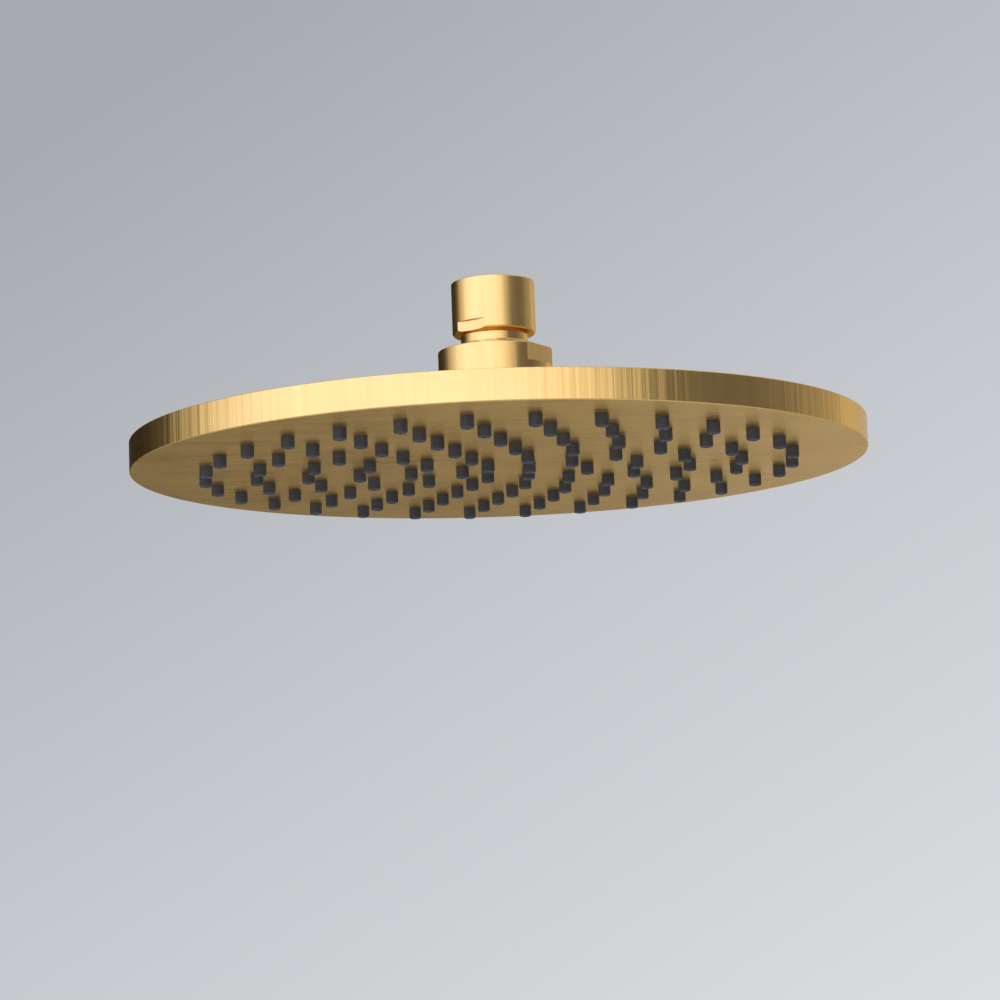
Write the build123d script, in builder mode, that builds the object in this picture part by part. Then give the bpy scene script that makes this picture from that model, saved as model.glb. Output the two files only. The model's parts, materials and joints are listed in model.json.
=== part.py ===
from build123d import *

import os
from math import asin, atan2, cos, hypot, pi, radians, sin, sqrt, tan

# Round overhead shower head on a ball joint.
# Millimetres. The origin is the centre of the inlet's mouth, +Z points up along the shower arm's thread,
# and the spray face looks down.

os.makedirs("parts", exist_ok=True)

# Driving dimensions of the inlet socket, from its mouth down
INLET_THREAD_DIAMETER = 18.631  # minor diameter of a G1/2 pipe thread
INLET_THREAD_LENGTH = 8.7
THREAD_RELIEF = 0.5
WASHER_THICKNESS = 2.2
WASHER_WIDTH = 3.3
WASHER_HEADROOM = 0.2
SCREEN_THICKNESS = 0.4
SCREEN_HOLE = 1.4
SCREEN_PITCH = 2.2
NUT_WALL = 2.13
NUT_FLOOR = 3.54
NUT_CONE_ANGLE = 22.8  # rise of the nut's underside from the neck to its rim
NUT_FLAT_HEIGHT = 3.24
NUT_FLAT_DEPTH = 0.95
NUT_FLAT_ANGLE = -126.0

# Driving dimensions of the flow regulator in the neck
REGULATOR_DIAMETER = 14.0
REGULATOR_HEIGHT = 5.0
REGULATOR_WALL = 1.4
REGULATOR_FLOOR = 1.4
REGULATOR_SEAT = 1.55
REGULATOR_PORTS = 4
REGULATOR_PORT = 2.2
REGULATOR_POST = 3.2
CONTROL_RING_WIDTH = 1.3
CONTROL_RING_HEIGHT = 1.6

# Driving dimensions of the ball joint
NECK_WALL = 2.15
NECK_GAP = 4.06
BALL_SHOULDER = 3.0
BALL_TILT = 15.0
BALL_END_WALL = 1.32
BALL_END_MARGIN = 3.0  # turn left over before the tilted ball's end would reach the seal
SEAT_RING_ANGLE = 75.0  # angles down from the joint's axis, seen from the ball's centre
SEAT_RING_THICKNESS = 0.9
SEAT_RING_WIDTH = 4.0
SEAL_WIDTH = 3.3
SEAL_LAND = 0.5
SEAL_FOOT = 1.0
LIP_ANGLE = 62.0
LIP_EDGE = 1.35
COLLAR_WALL = 2.15
COLLAR_ENGAGEMENT = 5.0
COLLAR_FLAT_HEIGHT = 5.0
COLLAR_FLAT_DEPTH = 1.35
COLLAR_FLAT_ANGLE = -32.0
EDGE_BREAK = 0.4

# Driving dimensions of the spigot on the back of the head
SPIGOT_GAP = 0.6
SPIGOT_BASE_HEIGHT = 3.0
SPIGOT_FLANGE_WIDTH = 4.35
SPIGOT_FLANGE_THICKNESS = 2.0
SPIGOT_BORE_DIAMETER = 15.0
SPIGOT_TENON_WALL = 2.5

# Driving dimensions of the spray head
HEAD_DIAMETER = 200.0
FACE_THICKNESS = 1.5
MAT_THICKNESS = 1.2
CHAMBER_DEPTH = 3.8
BACK_THICKNESS = 1.5
RIM_WALL = 2.0
RIM_SHOULDER = 1.5
RIM_EDGE_BREAK = 0.3
SPIDER_RING_WIDTH = 8.0
SPIDER_HUB_WIDTH = 3.5
SPIDER_HUB_HEIGHT = 1.4
SPIDER_RIB_WIDTH = 3.0
SPIDER_RIB_ANGLE = 8.0  # turn of a rib away from the radial line of nozzles

# Driving dimensions of the nozzle field
FIRST_RING_RADIUS = 10.0
RING_PITCH = 14.0
NOZZLES_PER_STEP = 5
BARE_EDGE = 19.0
NOZZLE_PHASE = -107.3
NOZZLE_DIAMETER = 3.5
NOZZLE_REACH = 3.0
NOZZLE_BORE = 1.2
NOZZLE_SIDES = 10  # over a hundred nozzles, so each is drawn with flats
NOZZLE_BORE_SIDES = 6

# Clearances
SLIP = 0.05
BALL_CLEARANCE = 0.05
SWING_CLEARANCE = 0.1
LIP_CLEARANCE = 0.2
MAT_CLEARANCE = 0.2

# Inlet levels and radii
thread_r = INLET_THREAD_DIAMETER / 2
relief_r = thread_r + THREAD_RELIEF
nut_r = thread_r + NUT_WALL
thread_end_z = -INLET_THREAD_LENGTH
shelf_z = thread_end_z - WASHER_HEADROOM - WASHER_THICKNESS - SCREEN_THICKNESS
nut_bottom_z = shelf_z - NUT_FLOOR
regulator_r = REGULATOR_DIAMETER / 2
pocket_r = regulator_r + SLIP
pocket_z = shelf_z - REGULATOR_HEIGHT
waterway_r = pocket_r - REGULATOR_SEAT
neck_r = pocket_r + NECK_WALL
nut_rim_z = nut_bottom_z + (nut_r - neck_r) * tan(radians(NUT_CONE_ANGLE))

# Ball joint, worked out around the ball's centre
tilt = radians(BALL_TILT)
lip_angle = radians(LIP_ANGLE)
seat_angle = radians(SEAT_RING_ANGLE)
ball_r = neck_r + BALL_SHOULDER
end_angle = pi - asin((waterway_r + BALL_END_WALL) / ball_r)
seal_angle = end_angle - tilt - radians(BALL_END_MARGIN)
seat_r = ball_r + BALL_CLEARANCE
swing_r = hypot(seat_r + SEAT_RING_THICKNESS, SEAT_RING_WIDTH / 2)
cavity_r = swing_r + SWING_CLEARANCE
collar_bore_r = cavity_r + SWING_CLEARANCE
collar_r = collar_bore_r + COLLAR_WALL

# The lip of the collar is a cone that clears the swinging seat ring, and its opening clears the tilted neck
lip_apex = cavity_r / cos(lip_angle)
lip_slope = tan(lip_angle)
neck_swing = (lip_apex + LIP_EDGE) * tan(tilt) + neck_r / cos(tilt) + LIP_CLEARANCE
opening_r = neck_swing / (1 + lip_slope * tan(tilt))
lip_edge_rise = lip_apex - opening_r * lip_slope
collar_rise = lip_edge_rise + LIP_EDGE
collar_top_z = nut_bottom_z - NECK_GAP
ball_z = collar_top_z - collar_rise

# The seal is a ring with a conical seat that touches the ball along a circle
seal_touch_r = seat_r * sin(seal_angle)
seal_in_r = seal_touch_r - SEAL_WIDTH / 2
seal_out_r = seal_touch_r + SEAL_WIDTH / 2
seal_apex = seat_r / cos(seal_angle)
seal_slope = tan(seal_angle)
seal_low_z = ball_z + seal_apex - seal_in_r * seal_slope
seal_high_z = ball_z + seal_apex - (seal_out_r - SEAL_LAND) * seal_slope
seal_foot_z = seal_low_z - SEAL_FOOT

# Spigot levels and radii
socket_r = seal_out_r + SLIP
shank_r = collar_bore_r - SLIP
shank_top_z = seal_high_z + EDGE_BREAK
collar_bottom_z = shank_top_z - COLLAR_ENGAGEMENT
base_top_z = collar_bottom_z - SPIGOT_GAP
ledge_z = seal_foot_z - SLIP
flange_top_z = base_top_z - SPIGOT_BASE_HEIGHT
back_z = flange_top_z - SPIGOT_FLANGE_THICKNESS
flange_r = collar_r + SPIGOT_FLANGE_WIDTH
bore_r = SPIGOT_BORE_DIAMETER / 2
tenon_r = bore_r + SPIGOT_TENON_WALL

# Spray head levels and radii
head_r = HEAD_DIAMETER / 2
chamber_top_z = back_z - BACK_THICKNESS
mat_top_z = chamber_top_z - CHAMBER_DEPTH
face_top_z = mat_top_z - MAT_THICKNESS
face_z = face_top_z - FACE_THICKNESS
back_r = head_r - RIM_WALL
chamber_r = back_r - RIM_SHOULDER
mat_r = chamber_r - MAT_CLEARANCE
nozzle_r = NOZZLE_DIAMETER / 2
ring_radii = [FIRST_RING_RADIUS]
while ring_radii[-1] + RING_PITCH <= head_r - BARE_EDGE:
    ring_radii.append(ring_radii[-1] + RING_PITCH)
nozzle_rings = [(radius, NOZZLES_PER_STEP * (step + 1)) for step, radius in enumerate(ring_radii)]


def ball_point(radius, angle):
    """Point of the section at a radius and an angle down from the axis, seen from the ball's centre."""
    return (radius * sin(angle), ball_z + radius * cos(angle))


def finish(builder, label):
    """Name a finished sub-part and write its STEP file."""
    builder.part.label = label
    export_step(builder.part, f"parts/{label}.step")


# Inlet nut, neck and ball, turned in one piece
neck_end = ball_point(ball_r, atan2(neck_r, sqrt(ball_r**2 - neck_r**2)))
ball_side = ball_point(ball_r, radians(90))
ball_end = ball_point(ball_r, end_angle)
with BuildPart() as inlet_ball:
    with BuildSketch(Plane.XZ):
        with BuildLine():
            Polyline((thread_r, 0), (nut_r, 0), (nut_r, nut_rim_z), (neck_r, nut_bottom_z), neck_end)
            ThreePointArc(neck_end, ball_side, ball_end)
            Polyline(
                ball_end,
                (waterway_r, ball_end[1]),
                (waterway_r, pocket_z),
                (pocket_r, pocket_z),
                (pocket_r, shelf_z),
                (relief_r, shelf_z),
                (relief_r, thread_end_z),
                (thread_r, thread_end_z),
                (thread_r, 0),
            )
        make_face()
    revolve(axis=Axis.Z)
    nut_edges = inlet_ball.edges().filter_by(GeomType.CIRCLE)
    nut_edges = nut_edges.filter_by(lambda edge: abs(edge.radius - nut_r) < SLIP)
    chamfer(nut_edges.sort_by(Axis.Z)[-1], EDGE_BREAK)
    with BuildSketch(Plane.XY.offset(nut_bottom_z)):
        with PolarLocations(nut_r - NUT_FLAT_DEPTH, 2, start_angle=NUT_FLAT_ANGLE):
            Rectangle(nut_r, 2 * nut_r, align=(Align.MIN, Align.CENTER))
    extrude(amount=NUT_FLAT_HEIGHT, mode=Mode.SUBTRACT)
finish(inlet_ball, "inlet_ball")

# Perforated filter screen on the shelf of the socket
screen_z = shelf_z + SCREEN_THICKNESS
screen_field = 2 * waterway_r / SCREEN_PITCH
screen_count = int(screen_field / sqrt(2))
with BuildPart() as filter_screen:
    with BuildSketch(Plane.XY.offset(shelf_z)):
        Circle(relief_r - SLIP)
        with GridLocations(SCREEN_PITCH, SCREEN_PITCH, screen_count, screen_count):
            Rectangle(SCREEN_HOLE, SCREEN_HOLE, mode=Mode.SUBTRACT)
    extrude(amount=SCREEN_THICKNESS)
finish(filter_screen, "filter_screen")

# Rubber washer that the arm's end face presses on
with BuildPart() as inlet_washer:
    with BuildSketch(Plane.XY.offset(screen_z)):
        Circle(relief_r - SLIP)
        Circle(relief_r - SLIP - WASHER_WIDTH, mode=Mode.SUBTRACT)
    extrude(amount=WASHER_THICKNESS)
finish(inlet_washer, "inlet_washer")

# Flow regulator, a cup with a post and ports through its floor
post_r = REGULATOR_POST / 2
cup_r = regulator_r - REGULATOR_WALL
floor_z = pocket_z + REGULATOR_FLOOR
post_top_z = floor_z + CONTROL_RING_HEIGHT
port_ring_r = (post_r + CONTROL_RING_WIDTH + cup_r) / 2
with BuildPart() as flow_regulator:
    with BuildSketch(Plane.XY.offset(pocket_z)):
        Circle(regulator_r)
    extrude(amount=REGULATOR_HEIGHT)
    with BuildSketch(Plane.XY.offset(floor_z)):
        Circle(cup_r)
    extrude(amount=REGULATOR_HEIGHT, mode=Mode.SUBTRACT)
    with BuildSketch(Plane.XY.offset(floor_z)):
        Circle(post_r)
    extrude(amount=CONTROL_RING_HEIGHT)
    with BuildSketch(Plane.XY.offset(pocket_z)):
        with PolarLocations(port_ring_r, REGULATOR_PORTS):
            Circle(REGULATOR_PORT / 2)
    extrude(amount=REGULATOR_FLOOR, mode=Mode.SUBTRACT)
finish(flow_regulator, "flow_regulator")

# Rubber ring on the regulator's post
with BuildPart() as control_ring:
    with BuildSketch(Plane.XY.offset(floor_z)):
        Circle(post_r + SLIP + CONTROL_RING_WIDTH)
        Circle(post_r + SLIP, mode=Mode.SUBTRACT)
    extrude(amount=CONTROL_RING_HEIGHT)
finish(control_ring, "control_ring")

# Seat ring between the ball and the collar's lip, a short cone that touches the ball along a circle
seat_half = atan2(SEAT_RING_WIDTH / 2, seat_r)
seat_reach = hypot(seat_r, SEAT_RING_WIDTH / 2)
seat_back_half = atan2(SEAT_RING_WIDTH / 2, seat_r + SEAT_RING_THICKNESS)
with BuildPart() as ball_seat_ring:
    with BuildSketch(Plane.XZ):
        with BuildLine():
            Polyline(
                ball_point(seat_reach, seat_angle - seat_half),
                ball_point(swing_r, seat_angle - seat_back_half),
                ball_point(swing_r, seat_angle + seat_back_half),
                ball_point(seat_reach, seat_angle + seat_half),
                close=True,
            )
        make_face()
    revolve(axis=Axis.Z)
finish(ball_seat_ring, "ball_seat_ring")

# Seal under the ball
with BuildPart() as ball_seal:
    with BuildSketch(Plane.XZ):
        with BuildLine():
            Polyline(
                (seal_in_r, seal_foot_z),
                (seal_out_r, seal_foot_z),
                (seal_out_r, seal_high_z),
                (seal_out_r - SEAL_LAND, seal_high_z),
                (seal_in_r, seal_low_z),
                close=True,
            )
        make_face()
    revolve(axis=Axis.Z)
finish(ball_seal, "ball_seal")

# Collar nut that holds the ball down
lip_root_z = ball_z + lip_apex - collar_bore_r * lip_slope
with BuildPart() as collar_nut:
    with BuildSketch(Plane.XZ):
        with BuildLine():
            Polyline(
                (opening_r, collar_top_z),
                (collar_r, collar_top_z),
                (collar_r, collar_bottom_z),
                (collar_bore_r, collar_bottom_z),
                (collar_bore_r, lip_root_z),
                (opening_r, ball_z + lip_edge_rise),
                close=True,
            )
        make_face()
    revolve(axis=Axis.Z)
    collar_edges = collar_nut.edges().filter_by(GeomType.CIRCLE)
    chamfer(collar_edges.filter_by(lambda edge: abs(edge.radius - collar_r) < SLIP), EDGE_BREAK)
    with BuildSketch(Plane.XY.offset(collar_top_z)):
        with PolarLocations(collar_r - COLLAR_FLAT_DEPTH, 2, start_angle=COLLAR_FLAT_ANGLE):
            Rectangle(collar_r, 2 * collar_r, align=(Align.MIN, Align.CENTER))
    extrude(amount=-COLLAR_FLAT_HEIGHT, mode=Mode.SUBTRACT)
finish(collar_nut, "collar_nut")

# Spigot that carries the collar's thread and the seal, with a tenon in the back plate
with BuildPart() as inlet_spigot:
    with BuildSketch(Plane.XZ):
        with BuildLine():
            Polyline(
                (socket_r, shank_top_z),
                (shank_r, shank_top_z),
                (shank_r, base_top_z),
                (collar_r, base_top_z),
                (collar_r, flange_top_z),
                (flange_r, flange_top_z),
                (flange_r, back_z),
                (tenon_r, back_z),
                (tenon_r, chamber_top_z),
                (bore_r, chamber_top_z),
                (bore_r, ledge_z),
                (socket_r, ledge_z),
                close=True,
            )
        make_face()
    revolve(axis=Axis.Z)
    flange_edges = inlet_spigot.edges().filter_by(GeomType.CIRCLE)
    flange_edges = flange_edges.filter_by(lambda edge: abs(edge.radius - flange_r) < SLIP)
    chamfer(flange_edges.sort_by(Axis.Z)[-1], EDGE_BREAK)
finish(inlet_spigot, "inlet_spigot")

# Back plate, let into the top of the rim
with BuildPart() as back_plate:
    with BuildSketch(Plane.XY.offset(chamber_top_z)):
        Circle(back_r - SLIP)
        Circle(tenon_r + SLIP, mode=Mode.SUBTRACT)
    extrude(amount=BACK_THICKNESS)
finish(back_plate, "back_plate")

# Face and rim in one pan, with a shoulder for the back plate and a hole for each nozzle
hole_r = nozzle_r + SLIP
with BuildPart() as face_pan:
    with BuildSketch(Plane.XZ):
        with BuildLine():
            Polyline(
                (0, face_z),
                (head_r, face_z),
                (head_r, back_z),
                (back_r, back_z),
                (back_r, chamber_top_z),
                (chamber_r, chamber_top_z),
                (chamber_r, face_top_z),
                (0, face_top_z),
                close=True,
            )
        make_face()
    revolve(axis=Axis.Z)
    rim_edges = face_pan.edges().filter_by(GeomType.CIRCLE)
    chamfer(rim_edges.filter_by(lambda edge: abs(edge.radius - head_r) < SLIP), RIM_EDGE_BREAK)
    with BuildSketch(Plane.XY.offset(face_z)):
        for radius, count in nozzle_rings:
            with PolarLocations(radius, count, start_angle=NOZZLE_PHASE):
                RegularPolygon(hole_r, NOZZLE_SIDES)
    extrude(amount=FACE_THICKNESS, mode=Mode.SUBTRACT)
finish(face_pan, "face_pan")

# Silicone mat with its nozzles through the face
with BuildPart() as nozzle_mat:
    with BuildSketch(Plane.XY.offset(face_top_z)):
        Circle(mat_r)
    extrude(amount=MAT_THICKNESS)
    with BuildSketch(Plane.XY.offset(face_top_z)):
        for radius, count in nozzle_rings:
            with PolarLocations(radius, count, start_angle=NOZZLE_PHASE):
                RegularPolygon(nozzle_r, NOZZLE_SIDES)
    extrude(amount=-FACE_THICKNESS - NOZZLE_REACH)
    with BuildSketch(Plane.XY.offset(mat_top_z)):
        for radius, count in nozzle_rings:
            with PolarLocations(radius, count, start_angle=NOZZLE_PHASE):
                RegularPolygon(NOZZLE_BORE / 2, NOZZLE_BORE_SIDES)
    extrude(amount=face_z - NOZZLE_REACH - mat_top_z, mode=Mode.SUBTRACT)
finish(nozzle_mat, "nozzle_mat")

# Spider that holds the mat down: a rim ring, a low hub ring and ribs that stand clear of the nozzles
hub_r = FIRST_RING_RADIUS + RING_PITCH / 2
spider_ring_r = mat_r - SPIDER_RING_WIDTH
rib_length = spider_ring_r + SPIDER_RING_WIDTH / 2 - hub_r
with BuildPart() as spacer_spider:
    with BuildSketch(Plane.XY.offset(mat_top_z)):
        Circle(mat_r)
        Circle(spider_ring_r, mode=Mode.SUBTRACT)
        with PolarLocations(hub_r, NOZZLES_PER_STEP, start_angle=NOZZLE_PHASE + SPIDER_RIB_ANGLE):
            Rectangle(rib_length, SPIDER_RIB_WIDTH, align=(Align.MIN, Align.CENTER))
    extrude(amount=CHAMBER_DEPTH)
    with BuildSketch(Plane.XY.offset(mat_top_z)):
        Circle(hub_r + SPIDER_HUB_WIDTH / 2)
        Circle(hub_r - SPIDER_HUB_WIDTH / 2, mode=Mode.SUBTRACT)
    extrude(amount=SPIDER_HUB_HEIGHT)
finish(spacer_spider, "spacer_spider")
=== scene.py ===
"""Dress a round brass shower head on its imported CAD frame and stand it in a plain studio.

The pieces' sizes are in millimetres, as in the CAD model, and become metres where a mesh is made. A size
whose name ends in _r is a radius, and a height is measured from the origin, the centre of the inlet's
mouth. +Z points up along the inlet, and the spray face looks down. The studio's sizes are in metres.
"""

from __future__ import annotations

import json
import logging
import math
from dataclasses import dataclass
from enum import Enum
from typing import Self

import bmesh
import bpy
from mathutils import Matrix, Vector

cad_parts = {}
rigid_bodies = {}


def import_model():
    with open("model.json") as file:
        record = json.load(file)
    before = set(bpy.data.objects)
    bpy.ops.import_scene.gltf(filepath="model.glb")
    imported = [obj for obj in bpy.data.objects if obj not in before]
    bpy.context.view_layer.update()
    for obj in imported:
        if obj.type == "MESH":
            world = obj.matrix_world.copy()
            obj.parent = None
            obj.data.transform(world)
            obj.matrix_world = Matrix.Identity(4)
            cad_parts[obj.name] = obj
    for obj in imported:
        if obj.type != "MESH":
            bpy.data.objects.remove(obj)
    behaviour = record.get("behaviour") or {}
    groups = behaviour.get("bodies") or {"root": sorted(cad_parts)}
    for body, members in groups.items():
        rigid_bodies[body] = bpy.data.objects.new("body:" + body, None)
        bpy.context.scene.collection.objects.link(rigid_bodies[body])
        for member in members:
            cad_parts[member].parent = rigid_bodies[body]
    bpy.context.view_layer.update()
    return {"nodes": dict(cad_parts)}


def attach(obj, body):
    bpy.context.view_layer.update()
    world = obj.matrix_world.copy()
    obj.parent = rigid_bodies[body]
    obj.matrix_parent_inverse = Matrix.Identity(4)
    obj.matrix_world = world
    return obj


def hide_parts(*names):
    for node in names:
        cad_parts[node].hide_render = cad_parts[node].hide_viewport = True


MM = 0.001
FULL_TURN = 2.0 * math.pi
HALF_TURN_DEGREES = 180.0
QUARTER_TURN_DEGREES = 90.0

# Corners sharper than this stay crisp, and faces that look up or down by more than this share are flats.
SHARP_ANGLE = math.radians(18.0)
FLAT_NORMAL = 0.85

# Metres within which a point counts as lying on a wall, lying on a level or being the same point.
ON_WALL = 1e-5
ON_LEVEL = 1e-6
SAME = 1e-7

# Steps in a rounded corner: in one that shows, in a small one and in the smallest.
ROUND_STEPS = 6
SMALL_STEPS = 3
LEAST_STEPS = 2

# Roughness of matt paper and cloth.
MATT = 0.95

Triple = tuple[float, float, float]
Colour = Triple
Tones = tuple[tuple[float, float], ...]
Socket = bpy.types.NodeSocket
Inputs = dict[str | int, object]
Material = bpy.types.Material
Mesh = bmesh.types.BMesh
Edges = list[bmesh.types.BMEdge]
Faces = list[bmesh.types.BMFace]

log = logging.getLogger("shower_head")


class BrushLines(Enum):
    """Which way the polishing lines of a brass surface run."""

    ACROSS = "across"
    UPRIGHT = "upright"
    TURNED = "turned"


class CutSide(Enum):
    """Which side of its ledge a spanner flat lies on."""

    ABOVE = 1
    BELOW = -1


class Looks(Enum):
    """Which way a filled face looks."""

    UP = 1.0
    DOWN = -1.0


class Graph:
    """A node tree that is added to node by node."""

    def __init__(self, tree: bpy.types.NodeTree) -> None:
        """Empty a node tree so that it can be built up.

        Args:
            tree: The node tree of a material, a lamp or a world.
        """
        self.tree = tree
        self.tree.nodes.clear()

    def add(self, kind: str, inputs: Inputs | None = None, **settings: object) -> bpy.types.Node:
        """Add one node.

        Args:
            kind: Blender's name of the node type.
            inputs: What goes into its sockets: an output socket to link, or a constant.
            settings: Properties of the node itself.

        Returns:
            The new node.
        """
        node = self.tree.nodes.new(kind)
        for name, value in settings.items():
            setattr(node, name, value)
        for key, value in (inputs or {}).items():
            if isinstance(value, Socket):
                self.tree.links.new(value, node.inputs[key])
            else:
                node.inputs[key].default_value = value
        return node

    def object_point(self) -> Socket:
        """Return the socket that gives a point of the surface in metres."""
        return self.add("ShaderNodeTexCoord").outputs["Object"]

    def stretched(self, point: Socket, scale: Triple) -> Socket:
        """Return a point scaled along each axis, so that a noise read from it is drawn out."""
        return self.add("ShaderNodeMapping", {"Vector": point, "Scale": scale}).outputs["Vector"]

    def coordinate(self, point: Socket, axis: str) -> Socket:
        """Return one coordinate of a point."""
        return self.add("ShaderNodeSeparateXYZ", {0: point}).outputs[axis]

    def noise(self, point: Socket, scale: float, detail: float = 3.0, rough: float = 0.55) -> Socket:
        """Return a noise between 0 and 1 with the given number of cells per unit of the point."""
        inputs = {"Vector": point, "Scale": scale, "Detail": detail, "Roughness": rough}
        return self.add("ShaderNodeTexNoise", inputs).outputs["Fac"]

    def spread(self, value: Socket, low: float, high: float, start: float = 0.3, end: float = 0.7) -> Socket:
        """Return a value with its range start to end laid over low to high."""
        inputs = {"Value": value, "From Min": start, "From Max": end, "To Min": low, "To Max": high}
        return self.add("ShaderNodeMapRange", inputs).outputs["Result"]

    def swung(self, value: Socket, middle: float, swing: float) -> Socket:
        """Return a value laid over a swing to either side of a middle."""
        return self.spread(value, middle - swing, middle + swing)

    def maths(self, operation: str, *values: Socket | float) -> Socket:
        """Return the result of a sum on sockets and numbers."""
        return self.add("ShaderNodeMath", dict(enumerate(values)), operation=operation).outputs["Value"]

    def mixed(self, factor: Socket, first: Colour | Socket, second: Colour) -> Socket:
        """Mix two colours.

        Args:
            factor: Socket of the second colour's share.
            first: The first colour, or the socket that gives it.
            second: The second colour.

        Returns:
            The socket of the colour between them.
        """
        start = first if isinstance(first, Socket) else (*first, 1.0)
        node = self.add("ShaderNodeMix", {0: factor, 6: start, 7: (*second, 1.0)}, data_type="RGBA")
        return node.outputs[2]

    def bump(self, height: Socket, depth: float, under: Socket | None = None) -> Socket:
        """Raise and lower a surface in its shading.

        Args:
            height: Socket of the height, between 0 and 1.
            depth: How far it rises, in metres.
            under: Socket of the normal that it lies on, if that is bumpy too.

        Returns:
            The socket of the new normal.
        """
        inputs = {"Height": height, "Distance": depth, "Strength": 1.0}
        if under is not None:
            inputs["Normal"] = under
        return self.add("ShaderNodeBump", inputs).outputs["Normal"]

    def surface(self, inputs: Inputs) -> None:
        """Join a principled shader with these inputs to the material's output."""
        shader = self.add("ShaderNodeBsdfPrincipled", inputs)
        self.add("ShaderNodeOutputMaterial", {"Surface": shader.outputs["BSDF"]})


def new_material(name: str) -> tuple[Material, Graph]:
    """Start a material.

    Args:
        name: Name of the material.

    Returns:
        The material and its empty node tree.
    """
    made = bpy.data.materials.new(name)
    made.use_nodes = True
    return made, Graph(made.node_tree)


@dataclass(frozen=True)
class BrushedBrass:
    """Brass with polishing lines and a soft gloss.

    Attributes:
        name: Name of the material.
        lines: Which way the lines run.
        spacing: Distance between lines.
        depth: Depth of the lines.
        band_depth: Depth of the broader bands that the lines gather in.
        roughness: Middle roughness of the metal.
        length: How long a line runs, unless it is turned.
        light: Colour of the raised metal.
        deep: Colour of the metal between.
        edge: Colour of the metal seen at a low angle.
        lacquer: Strength of the clear lacquer over it.
        lacquer_roughness: Roughness of the lacquer.
        roughness_swing: How far the roughness swings from line to line.
        patch_swing: How far the roughness swings from patch to patch.
        band_scale: Number of bands for each line.
        place_scale: Number of places with strong bands for each line.
        weakest_band: Share of its depth that the weakest band keeps.
        patch_scale: Number of soft patches in a metre.
        line_share: How much the lines count in the colour.
        band_share: How much the bands count in the colour.
        patch_share: How much the patches count in the colour.
    """

    name: str
    lines: BrushLines
    spacing: float
    depth: float
    band_depth: float
    roughness: float
    length: float = 40.0
    light: Colour = (0.82, 0.55, 0.208)
    deep: Colour = (0.745, 0.465, 0.16)
    edge: Colour = (0.86, 0.67, 0.40)
    lacquer: float = 0.0
    lacquer_roughness: float = 0.12
    roughness_swing: float = 0.05
    patch_swing: float = 0.02
    band_scale: float = 0.23
    place_scale: float = 0.045
    weakest_band: float = 0.15
    patch_scale: float = 38.0
    line_share: float = 0.4
    band_share: float = 0.4
    patch_share: float = 0.2

    def line_point(self, graph: Graph) -> Socket:
        """Give the point that the line noise is read at.

        Args:
            graph: The material's node tree.

        Returns:
            A socket with the surface point, drawn out along the lines.
        """
        point = graph.object_point()
        fine = 1.0 / (self.spacing * MM)
        along = 1.0 / (self.length * MM)
        if self.lines is BrushLines.ACROSS:
            return graph.stretched(point, (along, fine, fine))
        if self.lines is BrushLines.UPRIGHT:
            return graph.stretched(point, (fine, fine, along))
        level = graph.stretched(point, (fine, fine, 0.0))
        radius = graph.add("ShaderNodeVectorMath", {0: level}, operation="LENGTH").outputs["Value"]
        height = graph.coordinate(graph.stretched(point, (fine, fine, fine)), "Z")
        return graph.add("ShaderNodeCombineXYZ", {0: radius, 2: height}).outputs["Vector"]

    def material(self) -> Material:
        """Make the material.

        Returns:
            A procedural brass with lines, broad bands and soft patches.
        """
        made, graph = new_material(self.name)
        point = self.line_point(graph)
        lines = graph.noise(point, 1.0, detail=4.0, rough=0.6)
        bands = graph.noise(point, self.band_scale, detail=2.0, rough=0.5)
        places = graph.noise(point, self.place_scale, detail=1.0, rough=0.5)
        patches = graph.noise(graph.object_point(), self.patch_scale)
        patch_tone = graph.spread(patches, 0.0, self.patch_share)
        streaks = graph.maths("MULTIPLY_ADD", bands, self.band_share, patch_tone)
        tone = graph.maths("MULTIPLY_ADD", lines, self.line_share, streaks)
        line_roughness = graph.swung(lines, self.roughness, self.roughness_swing)
        patch_roughness = graph.swung(patches, 0.0, self.patch_swing)
        gathered = graph.maths("MULTIPLY", bands, graph.spread(places, self.weakest_band, 1.0))
        banded = graph.bump(gathered, self.band_depth * MM)
        graph.surface(
            {
                "Base Color": graph.mixed(graph.spread(tone, 0.0, 1.0), self.deep, self.light),
                "Metallic": 1.0,
                "Roughness": graph.maths("ADD", line_roughness, patch_roughness),
                "Specular Tint": (*self.edge, 1.0),
                "Coat Weight": self.lacquer,
                "Coat Roughness": self.lacquer_roughness,
                "Normal": graph.bump(lines, self.depth * MM, banded),
            }
        )
        return made


@dataclass(frozen=True)
class Moulded:
    """A moulded rubber or plastic with a fine grain and a little colour change.

    Attributes:
        name: Name of the material.
        light: Colour of its paler patches.
        deep: Colour of its darker patches.
        roughness: Middle roughness.
        grain: Size of the surface grain.
        depth: Depth of the grain.
        specular: Strength of its gloss.
        roughness_swing: How far the roughness swings over the grain.
        patch_scale: Number of patches in a metre.
    """

    name: str
    light: Colour
    deep: Colour
    roughness: float
    grain: float
    depth: float
    specular: float
    roughness_swing: float = 0.06
    patch_scale: float = 240.0

    def material(self) -> Material:
        """Make the material.

        Returns:
            A procedural moulded surface.
        """
        made, graph = new_material(self.name)
        point = graph.object_point()
        patches = graph.noise(point, self.patch_scale)
        grain = graph.noise(point, 1.0 / (self.grain * MM))
        graph.surface(
            {
                "Base Color": graph.mixed(graph.spread(patches, 0.0, 1.0), self.deep, self.light),
                "Roughness": graph.swung(grain, self.roughness, self.roughness_swing),
                "Specular IOR Level": self.specular,
                "Normal": graph.bump(grain, self.depth * MM),
            }
        )
        return made


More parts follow.
